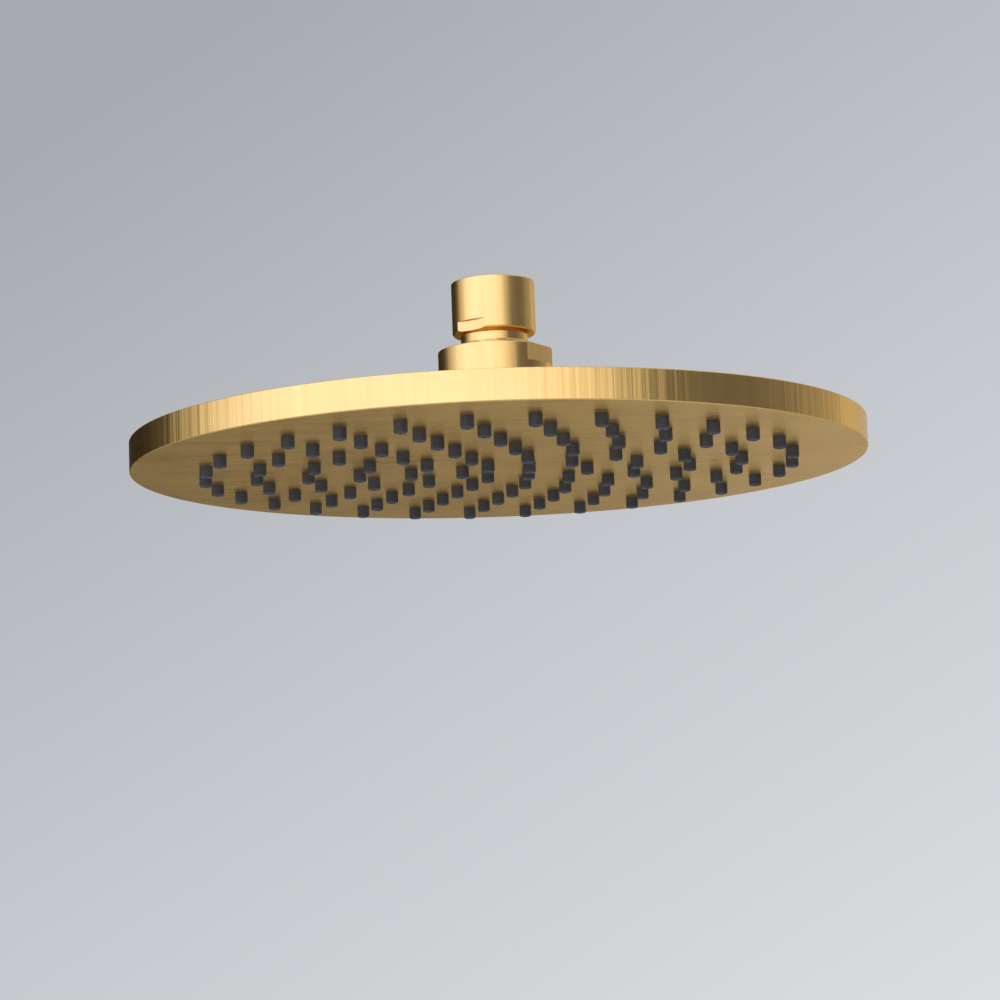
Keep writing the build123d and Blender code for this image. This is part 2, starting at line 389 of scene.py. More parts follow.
@dataclass(frozen=True)
class RolledSteel:
    """Thin stainless sheet with faint rolling lines.

    Attributes:
        name: Name of the material.
        light: Colour of the metal.
        deep: Colour of the metal between its lines.
        roughness: Middle roughness.
        roughness_swing: How far the roughness swings from line to line.
        lines: Number of lines in a metre along each axis.
        depth: Depth of the lines.
    """

    name: str = "stainless_screen"
    light: Colour = (0.66, 0.66, 0.65)
    deep: Colour = (0.50, 0.50, 0.50)
    roughness: float = 0.3
    roughness_swing: float = 0.08
    lines: Triple = (300.0, 9000.0, 9000.0)
    depth: float = 0.002

    def material(self) -> Material:
        """Make the material.

        Returns:
            A procedural rolled steel.
        """
        made, graph = new_material(self.name)
        lines = graph.noise(graph.stretched(graph.object_point(), self.lines), 1.0)
        graph.surface(
            {
                "Base Color": graph.mixed(graph.spread(lines, 0.0, 1.0), self.deep, self.light),
                "Metallic": 1.0,
                "Roughness": graph.swung(lines, self.roughness, self.roughness_swing),
                "Normal": graph.bump(lines, self.depth * MM),
            }
        )
        return made


@dataclass(frozen=True)
class StudioPaper:
    """Plain matt paper of the floor.

    Attributes:
        name: Name of the material.
        colour: Its colour.
        swing: How much its fine speckle lightens it.
        speckle_scale: Number of speckles in a metre.
        specular: Strength of its gloss.
    """

    name: str
    colour: Colour
    swing: float = 0.04
    speckle_scale: float = 60.0
    specular: float = 0.1

    def material(self) -> Material:
        """Make the material.

        Returns:
            A matt procedural surface.
        """
        made, graph = new_material(self.name)
        speckle = graph.noise(graph.object_point(), self.speckle_scale)
        paler = tuple(min(1.0, part * (1.0 + self.swing)) for part in self.colour)
        graph.surface(
            {
                "Base Color": graph.mixed(speckle, self.colour, paler),
                "Roughness": MATT,
                "Specular IOR Level": self.specular,
            }
        )
        return made


class TurnedProfile:
    """A half section drawn corner by corner in the XZ plane, then turned once round the Z axis."""

    def __init__(self) -> None:
        """Start an empty section."""
        self.mesh = bmesh.new()
        self.corners: list[bmesh.types.BMVert] = []
        self.rounded: list[tuple[bmesh.types.BMVert, float, int]] = []

    def to(self, radius: float, height: float, rounding: float = 0.0, segments: int = ROUND_STEPS) -> Self:
        """Draw the section on to a corner.

        Args:
            radius: The corner's distance from the axis.
            height: The corner's height.
            rounding: Radius that breaks the corner.
            segments: Number of steps in that radius.

        Returns:
            The same section.
        """
        corner = self.mesh.verts.new((radius * MM, 0.0, height * MM))
        if self.corners:
            self.mesh.edges.new((self.corners[-1], corner))
        self.corners.append(corner)
        if rounding > 0.0:
            self.rounded.append((corner, rounding, segments))
        return self

    def swing(self, centre_height: float, degrees: float, steps: int) -> Self:
        """Draw the section on along an arc about a point of the axis.

        Args:
            centre_height: Height of the arc's centre.
            degrees: How far it swings, outwards from the top.
            steps: Number of steps in the arc.

        Returns:
            The same section.
        """
        made = bmesh.ops.spin(
            self.mesh,
            geom=[self.corners[-1]],
            cent=(0.0, 0.0, centre_height * MM),
            axis=(0.0, 1.0, 0.0),
            dvec=(0.0, 0.0, 0.0),
            angle=math.radians(degrees),
            steps=steps,
            use_merge=False,
            use_duplicate=False,
        )
        self.corners.extend(part for part in made["geom_last"] if isinstance(part, bmesh.types.BMVert))
        return self

    def turn(self, steps: int, closed: bool = True) -> Mesh:
        """Round the section's corners and turn it.

        Args:
            steps: Number of facets round the axis.
            closed: Whether the section's last corner joins its first.

        Returns:
            The turned mesh, with its faces pointing outwards.
        """
        if closed:
            self.mesh.edges.new((self.corners[-1], self.corners[0]))
        for corner, rounding, segments in self.rounded:
            bmesh.ops.bevel(
                self.mesh,
                geom=[corner],
                offset=rounding * MM,
                offset_type="OFFSET",
                affect="VERTICES",
                segments=segments,
                profile=0.5,
                material=-1,
            )
        bmesh.ops.spin(
            self.mesh,
            geom=self.mesh.verts[:] + self.mesh.edges[:],
            cent=(0.0, 0.0, 0.0),
            axis=(0.0, 0.0, 1.0),
            dvec=(0.0, 0.0, 0.0),
            angle=FULL_TURN,
            steps=steps,
            use_merge=True,
            use_duplicate=False,
        )
        tidy(self.mesh)
        return self.mesh


def tidy(mesh: Mesh) -> None:
    """Merge doubles and turn every face outwards."""
    bmesh.ops.remove_doubles(mesh, verts=mesh.verts[:], dist=SAME)
    bmesh.ops.recalc_face_normals(mesh, faces=mesh.faces[:])


@dataclass(frozen=True)
class SpannerFlats:
    """Two flats on opposite sides of a turned piece, milled up or down to a ledge.

    Attributes:
        facing: Direction that the first flat faces, in degrees about the Z axis.
        distance: Distance of each flat from the axis.
        ledge: Height of the ledge where they end.
        side: Which side of the ledge is cut.
        outside: Share of the distance past which a face belongs to the piece's outside.
    """

    facing: float
    distance: float
    ledge: float
    side: CutSide
    outside: float = 0.4

    def past_ledge(self, face: bmesh.types.BMFace) -> bool:
        """Return whether a face lies on the side of the ledge that is cut."""
        return (face.calc_center_median().z - self.ledge * MM) * self.side.value > SAME

    def split(self, mesh: Mesh, faces: Faces, place: Vector, normal: Vector) -> None:
        """Cut some faces along a plane.

        Args:
            mesh: The mesh that they belong to.
            faces: The faces to cut.
            place: A point of the plane.
            normal: The plane's normal.
        """
        parts = dict.fromkeys(part for face in faces for part in (face, *face.edges, *face.verts))
        bmesh.ops.bisect_plane(mesh, geom=list(parts), dist=ON_WALL, plane_co=place, plane_no=normal)

    def cut(self, mesh: Mesh, degrees: float) -> None:
        """Mill one flat.

        Args:
            mesh: The turned mesh.
            degrees: Direction that the flat faces.
        """
        turn = math.radians(degrees)
        outwards = Vector((math.cos(turn), math.sin(turn), 0.0))
        wall = outwards * self.distance * MM
        ledge = Vector((0.0, 0.0, self.ledge * MM))
        up = Vector((0.0, 0.0, 1.0))
        reach = self.outside * self.distance * MM
        near = [face for face in mesh.faces if face.calc_center_median().dot(outwards) > reach]
        self.split(mesh, near, ledge, up)
        self.split(mesh, [face for face in mesh.faces if self.past_ledge(face)], wall, outwards)
        waste = [
            face
            for face in mesh.faces
            if self.past_ledge(face) and (face.calc_center_median() - wall).dot(outwards) > SAME
        ]
        bmesh.ops.delete(mesh, geom=waste, context="FACES")
        rim = [edge for edge in mesh.edges if edge.is_boundary]
        on_wall = [
            vert
            for vert in dict.fromkeys(vert for edge in rim for vert in edge.verts)
            if abs((vert.co - wall).dot(outwards)) < ON_WALL
        ]
        chord = mesh.edges.new([vert for vert in on_wall if abs((vert.co - ledge).dot(up)) < ON_WALL])
        on_flat = [edge for edge in rim if all(vert in on_wall for vert in edge.verts)]
        on_ledge = [edge for edge in rim if edge not in on_flat]
        bmesh.ops.edgeloop_fill(mesh, edges=[*on_flat, chord])
        bmesh.ops.edgeloop_fill(mesh, edges=[*on_ledge, chord])

    def mill(self, mesh: Mesh) -> None:
        """Mill both flats into a turned mesh.

        Args:
            mesh: The turned mesh.
        """
        for degrees in (self.facing, self.facing + HALF_TURN_DEGREES):
            self.cut(mesh, degrees)
        bmesh.ops.recalc_face_normals(mesh, faces=mesh.faces[:])


def draw_circle(mesh: Mesh, radius: float, height: float, steps: int, axis: Vector | None = None) -> Edges:
    """Draw a level circle of edges.

    Args:
        mesh: The mesh that takes the circle.
        radius: The circle's radius.
        height: The circle's height.
        steps: Number of edges in it.
        axis: Place of its axis in metres, if that isn't the Z axis.

    Returns:
        The edges of the circle.
    """
    middle = Vector((0.0, 0.0, height * MM)) + (axis or Vector())
    made = bmesh.ops.create_circle(
        mesh,
        cap_ends=False,
        radius=radius * MM,
        segments=steps,
        matrix=Matrix.Translation(middle),
    )
    return list(dict.fromkeys(edge for vert in made["verts"] for edge in vert.link_edges))


def open_edges(mesh: Mesh, height: float, radius: float | None = None) -> Edges:
    """Find the open edges of a mesh on one level.

    Args:
        mesh: The mesh.
        height: The level's height.
        radius: Radius of the circle about the Z axis that they lie on, if only those are wanted.

    Returns:
        The edges.
    """
    found = []
    for edge in mesh.edges:
        level = all(abs(vert.co.z - height * MM) < ON_LEVEL for vert in edge.verts)
        round_axis = radius is None or all(
            abs(vert.co.to_2d().length - radius * MM) < ON_LEVEL for vert in edge.verts
        )
        if edge.is_boundary and level and round_axis:
            found.append(edge)
    return found


def fill_flat(mesh: Mesh, loops: list[Edges], looks: Looks) -> None:
    """Fill the level area between a rim and the holes in it.

    Args:
        mesh: The mesh.
        loops: The edges of the rim and of the holes.
        looks: Which way the filled face looks.
    """
    edges = [edge for loop in loops for edge in loop]
    normal = (0.0, 0.0, looks.value)
    bmesh.ops.triangle_fill(mesh, edges=edges, use_beauty=True, use_dissolve=False, normal=normal)


def add_object(name: str, mesh: Mesh, *materials: Material) -> bpy.types.Object:
    """Put a finished mesh into the scene.

    Args:
        name: Name of the object.
        mesh: The finished mesh, which is freed.
        materials: The materials that its faces name by number.

    Returns:
        The new object.
    """
    data = bpy.data.meshes.new(name)
    mesh.to_mesh(data)
    mesh.free()
    for material in materials:
        data.materials.append(material)
    made = bpy.data.objects.new(name, data)
    bpy.context.scene.collection.objects.link(made)
    return made


def make_piece(name: str, mesh: Mesh, sides: Material, flats: Material | None = None) -> bpy.types.Object:
    """Turn a finished mesh into an object with smooth sides and crisp corners.

    Args:
        name: Name of the piece.
        mesh: The finished mesh, which is freed.
        sides: Material of the faces that stand upright.
        flats: Material of the faces that look up or down, if it differs.

    Returns:
        The new object.
    """
    for face in mesh.faces:
        face.smooth = True
        face.material_index = 1 if flats is not None and abs(face.normal.z) > FLAT_NORMAL else 0
    materials = (sides,) if flats is None else (sides, flats)
    piece = add_object(name, mesh, *materials)
    piece.data.set_sharp_from_angle(angle=SHARP_ANGLE)
    piece.modifiers.new("even_shading", "WEIGHTED_NORMAL").keep_sharp = True
    return piece


def settle(piece: bpy.types.Object, body: str, node: str) -> None:
    """Let a piece stand for a CAD node.

    Args:
        piece: The piece.
        body: Name of the body that it rides on.
        node: Name of the node that it replaces.
    """
    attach(piece, body)
    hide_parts(node)
    log.info("%s: %d faces, rides on %s", piece.name, len(piece.data.polygons), body)


@dataclass(frozen=True)
class Finishes:
    """Every finish of the shower head, made once."""

    rim: Material
    face: Material
    fittings: Material
    turned: Material
    silicone: Material
    rubber: Material
    acetal: Material
    steel: Material

    @classmethod
    def make(cls) -> Finishes:
        """Make all the materials.

        Returns:
            The set of finishes.
        """
        return cls(
            rim=BrushedBrass(
                "brass_rim",
                BrushLines.UPRIGHT,
                spacing=0.6,
                depth=0.045,
                band_depth=0.28,
                roughness=0.18,
                length=60.0,
                lacquer=0.14,
            ).material(),
            # The spray face's brass is paler and bluer than the rim's: partly its own colour and partly a
            # painted reflection, with its blue raised to stand for the pale room mirrored in a lacquer that
            # this material lacks.
            face=BrushedBrass(
                "brass_face",
                BrushLines.ACROSS,
                spacing=0.5,
                depth=0.006,
                band_depth=0.012,
                roughness=0.3,
                length=45.0,
                light=(0.84, 0.605, 0.26),
                deep=(0.74, 0.50, 0.195),
                edge=(0.88, 0.75, 0.52),
            ).material(),
            fittings=BrushedBrass(
                "brass_fittings",
                BrushLines.UPRIGHT,
                spacing=0.6,
                depth=0.012,
                band_depth=0.12,
                roughness=0.2,
                lacquer=0.14,
            ).material(),
            turned=BrushedBrass(
                "brass_turned",
                BrushLines.TURNED,
                spacing=0.35,
                depth=0.003,
                band_depth=0.006,
                roughness=0.25,
            ).material(),
            silicone=Moulded(
                "grey_silicone",
                light=(0.058, 0.063, 0.07),
                deep=(0.044, 0.048, 0.055),
                roughness=0.5,
                grain=0.25,
                depth=0.004,
                specular=0.3,
            ).material(),
            rubber=Moulded(
                "black_rubber",
                light=(0.034, 0.034, 0.034),
                deep=(0.022, 0.022, 0.022),
                roughness=0.6,
                grain=0.3,
                depth=0.006,
                specular=0.4,
            ).material(),
            acetal=Moulded(
                "white_acetal",
                light=(0.80, 0.80, 0.78),
                deep=(0.72, 0.72, 0.70),
                roughness=0.4,
                grain=0.4,
                depth=0.004,
                specular=0.5,
            ).material(),
            steel=RolledSteel().material(),
        )


@dataclass
class InletNut:
    """The inlet nut, its thread, the neck and the ball, turned in one piece.

    The ridge's foot and crest are half widths in pitches, and the gaps keep its ends inside the socket.
    """

    finishes: Finishes
    nut_r: float = 11.4455
    nut_bottom: float = -15.04
    nut_rim: float = -14.096
    edge_break: float = 0.4
    chamfer_in: float = 0.36
    chamfer_down: float = 0.46
    rim_break: float = 0.12
    neck_r: float = 9.2
    neck_top_rounding: float = 0.15
    neck_foot: float = -17.22
    neck_foot_rounding: float = 0.25
    flare_r: float = 10.0
    flare_end: float = -18.9
    ball_r: float = 12.2
    ball_height: float = -26.817
    ball_start: float = 56.0
    ball_end_r: float = 6.82
    ball_steps: int = 40
    waterway_r: float = 5.5
    pocket_r: float = 7.05
    pocket_floor: float = -16.5
    shelf: float = -11.5
    relief_r: float = 9.8155
    mouth_r: float = 10.75
    mouth_break: float = 0.08
    thread_end: float = -8.7
    thread_major_r: float = 10.4775
    thread_minor_r: float = 9.3155
    thread_pitch: float = 1.8143
    thread_steps: int = 72
    ridge_foot: float = 0.46
    ridge_crest: float = 0.14
    ridge_sunk: float = 0.05
    ridge_gap_below: float = 0.1
    ridge_gap_above: float = 0.35
    flat_distance: float = 10.4955
    flat_height: float = 3.24
    flat_facing: float = -126.0
    steps: int = 150

    def shell(self) -> Mesh:
        """Turn the nut, neck and ball and mill the two flats.

        Returns:
            The closed shell.
        """
        start = math.radians(self.ball_start)
        start_r = self.ball_r * math.sin(start)
        start_height = self.ball_height + self.ball_r * math.cos(start)
        end_angle = HALF_TURN_DEGREES - math.degrees(math.asin(self.ball_end_r / self.ball_r))
        end_height = self.ball_height + self.ball_r * math.cos(math.radians(end_angle))
        chamfer_r = self.nut_r - self.chamfer_in
        section = TurnedProfile()
        section.to(self.mouth_r, 0.0, self.mouth_break, LEAST_STEPS).to(self.nut_r, 0.0, self.edge_break)
        section.to(self.nut_r, self.nut_rim, self.rim_break, SMALL_STEPS)
        section.to(chamfer_r, self.nut_rim - self.chamfer_down, self.rim_break, SMALL_STEPS)
        section.to(self.neck_r, self.nut_bottom, self.neck_top_rounding, SMALL_STEPS)
        section.to(self.neck_r, self.neck_foot, self.neck_foot_rounding).to(self.flare_r, self.flare_end)
        section.to(start_r, start_height)
        section.swing(self.ball_height, end_angle - self.ball_start, self.ball_steps)
        section.to(self.waterway_r, end_height).to(self.waterway_r, self.pocket_floor)
        section.to(self.pocket_r, self.pocket_floor).to(self.pocket_r, self.shelf)
        section.to(self.relief_r, self.shelf).to(self.relief_r, self.thread_end)
        section.to(self.thread_major_r, self.thread_end)
        section.to(self.thread_major_r, self.thread_major_r - self.mouth_r)
        mesh = section.turn(self.steps)
        ledge = self.nut_bottom + self.flat_height
        SpannerFlats(self.flat_facing, self.flat_distance, ledge, CutSide.BELOW).mill(mesh)
        return mesh

    def thread(self) -> Mesh:
        """Wind the thread's ridge up the wall of the socket.

        Returns:
            The closed helical ridge.
        """
        foot = self.ridge_foot * self.thread_pitch
        crest = self.ridge_crest * self.thread_pitch
        foot_r = self.thread_major_r + self.ridge_sunk
        crest_r = self.thread_minor_r
        low = self.thread_end + foot + self.ridge_gap_below
        turns = (-low - foot - self.ridge_gap_above) / self.thread_pitch
        count = round(turns * self.thread_steps)
        outline = (foot_r, -foot), (foot_r, foot), (crest_r, crest), (crest_r, -crest)
        mesh = bmesh.new()
        corners = [mesh.verts.new((radius * MM, 0.0, (low + rise) * MM)) for radius, rise in outline]
        start = mesh.faces.new(corners)
        bmesh.ops.spin(
            mesh,
            geom=[start, *start.edges, *start.verts],
            cent=(0.0, 0.0, 0.0),
            axis=(0.0, 0.0, 1.0),
            dvec=(0.0, 0.0, self.thread_pitch / self.thread_steps * MM),
            angle=FULL_TURN * count / self.thread_steps,
            steps=count,
            use_merge=False,
            use_duplicate=False,
        )
        tidy(mesh)
        return mesh

    def build(self) -> None:
        """Make the nut with its thread and settle it on the inlet body."""
        mesh = self.shell()
        thread = self.thread()
        ridge = bpy.data.meshes.new("thread_ridge")
        thread.to_mesh(ridge)
        thread.free()
        mesh.from_mesh(ridge)
        bpy.data.meshes.remove(ridge)
        mesh.normal_update()
        piece = make_piece("inlet_nut", mesh, self.finishes.fittings, self.finishes.turned)
        settle(piece, "inlet", "inlet_ball")


@dataclass
class CollarNut:
    """The collar that holds the ball down, with two spanner flats."""

    finishes: Finishes
    top: float = -19.1
    bottom: float = -37.49
    outer_r: float = 15.651
    bore_r: float = 13.501
    opening_r: float = 11.792
    lip_edge: float = -20.45
    lip_root: float = -23.66
    edge_break: float = 0.4
    opening_break: float = 0.25
    bore_break: float = 0.2
    flat_distance: float = 14.301
    flat_height: float = 5.0
    flat_facing: float = -32.0
    steps: int = 150

    def build(self) -> None:
        """Turn the collar, mill its flats and settle it on the head."""
        section = TurnedProfile()
        section.to(self.opening_r, self.top, self.opening_break).to(self.outer_r, self.top, self.edge_break)
        section.to(self.outer_r, self.bottom, self.edge_break).to(self.bore_r, self.bottom, self.bore_break)
        section.to(self.bore_r, self.lip_root).to(self.opening_r, self.lip_edge)
        mesh = section.turn(self.steps)
        ledge = self.top - self.flat_height
        SpannerFlats(self.flat_facing, self.flat_distance, ledge, CutSide.ABOVE).mill(mesh)
        piece = make_piece("collar", mesh, self.finishes.fittings, self.finishes.turned)
        settle(piece, "head", "collar_nut")


@dataclass
class Spigot:
    """The spigot on the back of the head that the collar screws onto."""

    finishes: Finishes
    shank_top: float = -32.49
    shank_r: float = 13.451
    shank_break: float = 0.2
    socket_r: float = 11.353
    ledge: float = -37.523
    base_top: float = -38.09
    base_r: float = 15.651
    base_break: float = 0.3
    flange_top: float = -41.09
    flange_r: float = 20.0
    flange_break: float = 0.4
    back: float = -43.09
    bore_r: float = 7.5
    tenon_r: float = 10.0
    tenon_end: float = -44.59
    steps: int = 150

    def build(self) -> None:
        """Turn the spigot and settle it on the head."""
        section = TurnedProfile()
        section.to(self.socket_r, self.shank_top, self.shank_break)
        section.to(self.shank_r, self.shank_top, self.shank_break)
        section.to(self.shank_r, self.base_top).to(self.base_r, self.base_top, self.base_break)
        section.to(self.base_r, self.flange_top, self.base_break)
        section.to(self.flange_r, self.flange_top, self.flange_break)
        section.to(self.flange_r, self.back).to(self.tenon_r, self.back)
        section.to(self.tenon_r, self.tenon_end).to(self.bore_r, self.tenon_end)
        section.to(self.bore_r, self.ledge).to(self.socket_r, self.ledge)
        piece = make_piece("spigot", section.turn(self.steps), self.finishes.fittings, self.finishes.turned)
        settle(piece, "head", "inlet_spigot")


@dataclass
class SprayHead:
    """The disc: back plate, pan with its face and rim, and the silicone mat with its nozzles.

    The face's and the floor's margins are the widths of the pan's two faces that are turned with the rim.
    """

    finishes: Finishes
    head_r: float = 100.0
    back: float = -43.09
    chamber_top: float = -44.59
    mat_top: float = -48.39
    face_top: float = -49.59
    face: float = -51.09
    back_r: float = 98.0
    chamber_r: float = 96.5
    mat_r: float = 96.3
    face_margin: float = 4.0
    floor_margin: float = 2.0
    plate_gap: float = 0.05
    tenon_hole_r: float = 10.05
    rim_rounding: float = 0.3
    seam_break: float = 0.15
    first_ring: float = 10.0
    ring_pitch: float = 14.0
    rings: int = 6
    nozzles_per_step: int = 5
    phase: float = -107.3
    nozzle_r: float = 1.75
    nozzle_tip: float = -54.09
    nozzle_rounding: float = 0.55
    nozzle_rounding_steps: int = 4
    bore_r: float = 0.6
    bore_break: float = 0.15
    hole_r: float = 1.8
    steps: int = 256
    nozzle_steps: int = 20

    def nozzle_places(self) -> list[Vector]:
        """Work out where the nozzles stand.

        Returns:
            The axis of each nozzle, ring by ring, in metres.
        """
        places = []
        for step in range(self.rings):
            count = self.nozzles_per_step * (step + 1)
            reach = Vector(((self.first_ring + step * self.ring_pitch) * MM, 0.0, 0.0))
            for index in range(count):
                turn = Matrix.Rotation(math.radians(self.phase) + FULL_TURN * index / count, 3, "Z")
                places.append(turn @ reach)
        return places

    def draw_holes(self, mesh: Mesh, height: float) -> list[Edges]:
        """Draw the edges of the pan's holes on one level.

        Args:
            mesh: The pan's mesh.
            height: Height of the level.

        Returns:
            The edges of each hole.
        """
        places = self.nozzle_places()
        return [draw_circle(mesh, self.hole_r, height, self.nozzle_steps, place) for place in places]

    def build_pan(self) -> None:
        """Turn the rim, fill the face round the nozzle holes and settle the pan on the head."""
        lip_r = self.head_r - self.face_margin
        floor_r = self.chamber_r - self.floor_margin
        section = TurnedProfile()
        section.to(lip_r, self.face).to(self.head_r, self.face, self.rim_rounding)
        section.to(self.head_r, self.back, self.rim_rounding)
        section.to(self.back_r, self.back, self.seam_break, SMALL_STEPS)
        section.to(self.back_r, self.chamber_top).to(self.chamber_r, self.chamber_top)
        section.to(self.chamber_r, self.face_top).to(floor_r, self.face_top)
        mesh = section.turn(self.steps, closed=False)
        lip = open_edges(mesh, self.face, lip_r)
        floor = open_edges(mesh, self.face_top, floor_r)
        lower = self.draw_holes(mesh, self.face)
        upper = self.draw_holes(mesh, self.face_top)
        fill_flat(mesh, [lip, *lower], Looks.DOWN)
        fill_flat(mesh, [floor, *upper], Looks.UP)
        for low, high in zip(lower, upper):
            bmesh.ops.bridge_loops(mesh, edges=low + high)
        tidy(mesh)
        piece = make_piece("pan", mesh, self.finishes.rim, self.finishes.face)
        settle(piece, "head", "face_pan")

    def nozzles(self) -> Mesh:
        """Mould one rounded, bored nozzle and set a copy at each place.

        Returns:
            The nozzles, open at their feet and at the tops of their bores.
        """
        section = TurnedProfile()
        section.to(self.nozzle_r, self.face_top)
        section.to(self.nozzle_r, self.nozzle_tip, self.nozzle_rounding, self.nozzle_rounding_steps)
        section.to(self.bore_r, self.nozzle_tip, self.bore_break, LEAST_STEPS)
        section.to(self.bore_r, self.mat_top)
        mesh = section.turn(self.nozzle_steps, closed=False)
        first_verts = mesh.verts[:]
        first = first_verts + mesh.edges[:] + mesh.faces[:]
        for place in self.nozzle_places():
            copy = bmesh.ops.duplicate(mesh, geom=first)
            verts = [part for part in copy["geom"] if isinstance(part, bmesh.types.BMVert)]
            bmesh.ops.translate(mesh, verts=verts, vec=place)
        bmesh.ops.delete(mesh, geom=first_verts, context="VERTS")
        return mesh

    def build_mat(self) -> None:
        """Fill the mat round its nozzles, close its edge and settle it on the head."""
        mesh = self.nozzles()
        border = []
        for height, looks in ((self.face_top, Looks.DOWN), (self.mat_top, Looks.UP)):
            holes = open_edges(mesh, height)
            outer = draw_circle(mesh, self.mat_r, height, self.steps)
            fill_flat(mesh, [outer, holes], looks)
            border += open_edges(mesh, height, self.mat_r)
        bmesh.ops.bridge_loops(mesh, edges=border)
        tidy(mesh)
        piece = make_piece("nozzle_field", mesh, self.finishes.silicone)
        settle(piece, "head", "nozzle_mat")

    def build_back(self) -> None:
        """Turn the back plate and settle it on the head."""
        plate_r = self.back_r - self.plate_gap
        section = TurnedProfile()
        section.to(self.tenon_hole_r, self.chamber_top).to(plate_r, self.chamber_top)
        section.to(plate_r, self.back, self.seam_break, SMALL_STEPS).to(self.tenon_hole_r, self.back)
        piece = make_piece("back", section.turn(self.steps), self.finishes.rim, self.finishes.face)
        settle(piece, "head", "back_plate")

    def build(self) -> None:
        """Build the three pieces of the disc."""
        self.build_pan()
        self.build_mat()
        self.build_back()


@dataclass
class InnerPieces:
    """The small pieces inside, whose CAD shapes are right and only need their finish.

    Attributes:
        finishes: The finishes of the shower head.
        nodes: The CAD nodes by name.
    """

    finishes: Finishes
    nodes: dict[str, bpy.types.Object]

    def dress(self) -> None:
        """Give each kept CAD node its material."""
        worn = {
            "inlet_washer": self.finishes.rubber,
            "control_ring": self.finishes.rubber,
            "ball_seal": self.finishes.rubber,
            "filter_screen": self.finishes.steel,
            "flow_regulator": self.finishes.acetal,
            "ball_seat_ring": self.finishes.acetal,
            "spacer_spider": self.finishes.acetal,
        }
        for name, material in worn.items():
            data = self.nodes[name].data
            data.materials.clear()
            data.materials.append(material)
            log.info("%s: CAD node in %s", name, material.name)


@dataclass
class Panel:
    """A panel that faces the shower head, with its tones laid from side to side.

    Attributes:
        name: Name of the panel.
        tones: Bearing, in degrees to the right of the camera, and brightness there, from edge to edge.
        tint: Colour of its light or cloth where it is brightest.
        dim_tint: Colour that it goes towards where it is dim.
        distance: How far it stands from the axis, in metres.
        low: Where its lower edge is, in metres up from its own level.
        high: Where its upper edge is, in metres up from its own level.
        rise: How far its own level is raised, in degrees, so that 90 hangs it over the head.
    """

    name: str
    tones: Tones
    tint: Colour
    dim_tint: Colour
    distance: float = 2.0
    low: float = -0.75
    high: float = 1.75
    rise: float = 0.0

    def bearing(self) -> float:
        """Return the bearing of the panel's middle in degrees."""
        return (self.tones[0][0] + self.tones[-1][0]) / 2.0

    def reach(self) -> float:
        """Return half of the panel's width, seen from one unit away."""
        return math.tan(math.radians(self.tones[-1][0] - self.bearing()))

    def width(self) -> float:
        """Return the panel's width in metres."""
        return 2.0 * self.distance * self.reach()

    def height(self) -> float:
        """Return the panel's height in metres."""
        return self.high - self.low

    def place(self) -> Matrix:
        """Turn the panel to the shower head.

        Returns:
            The matrix of the panel's place.
        """
        bearing = Matrix.Rotation(math.radians(self.bearing()), 4, "Z")
        lean = Matrix.Rotation(math.radians(QUARTER_TURN_DEGREES - self.rise), 4, "X")
        return bearing @ lean @ Matrix.Translation((0.0, (self.low + self.high) / 2.0, self.distance))

    def brightest(self) -> float:
        """Return the panel's highest brightness, which its tones are shares of."""
        return max(level for _, level in self.tones)

    def shaded(self, graph: Graph, across: Socket) -> Socket:
        """Lay the tones across the panel.

        Args:
            graph: The node tree of the panel's light or cloth.
            across: Socket of a point on the panel, whose X runs from 0 at the left to 1.

        Returns:
            The socket of the tinted tone.
        """
        ramp = graph.add("ShaderNodeValToRGB", {0: graph.coordinate(across, "X")})
        stops = ramp.color_ramp.elements
        for index, (bearing, level) in enumerate(self.tones):
            at = 0.5 + math.tan(math.radians(bearing - self.bearing())) / (2.0 * self.reach())
            stop = stops[index] if index < len(stops) else stops.new(at)
            stop.position = at
            share = level / self.brightest()
            tinted = (share * (dim + share * (full - dim)) for dim, full in zip(self.dim_tint, self.tint))
            stop.color = (*tinted, 1.0)
        return ramp.outputs["Color"]


@dataclass
class Softbox(Panel):
    """A large soft lamp."""

    tint: Colour = (0.89, 1.0, 1.4)
    dim_tint: Colour = (1.04, 0.93, 0.68)

    def build(self) -> None:
        """Put up the lamp."""
        lamp = bpy.data.lights.new(self.name, "AREA")
        lamp.shape = "RECTANGLE"
        lamp.size = self.width()
        lamp.size_y = self.height()
        lamp.energy = self.brightest() * math.pi * lamp.size * lamp.size_y
        lamp.use_nodes = True
        graph = Graph(lamp.node_tree)
        across = graph.add("ShaderNodeNewGeometry").outputs["Parametric"]
        glow = graph.add("ShaderNodeEmission", {"Color": self.shaded(graph, across), "Strength": 1.0})
        graph.add("ShaderNodeOutputLight", {"Surface": glow.outputs["Emission"]})
        holder = bpy.data.objects.new(self.name, lamp)
        holder.matrix_world = self.place()
        holder.visible_camera = False
        bpy.context.scene.collection.objects.link(holder)


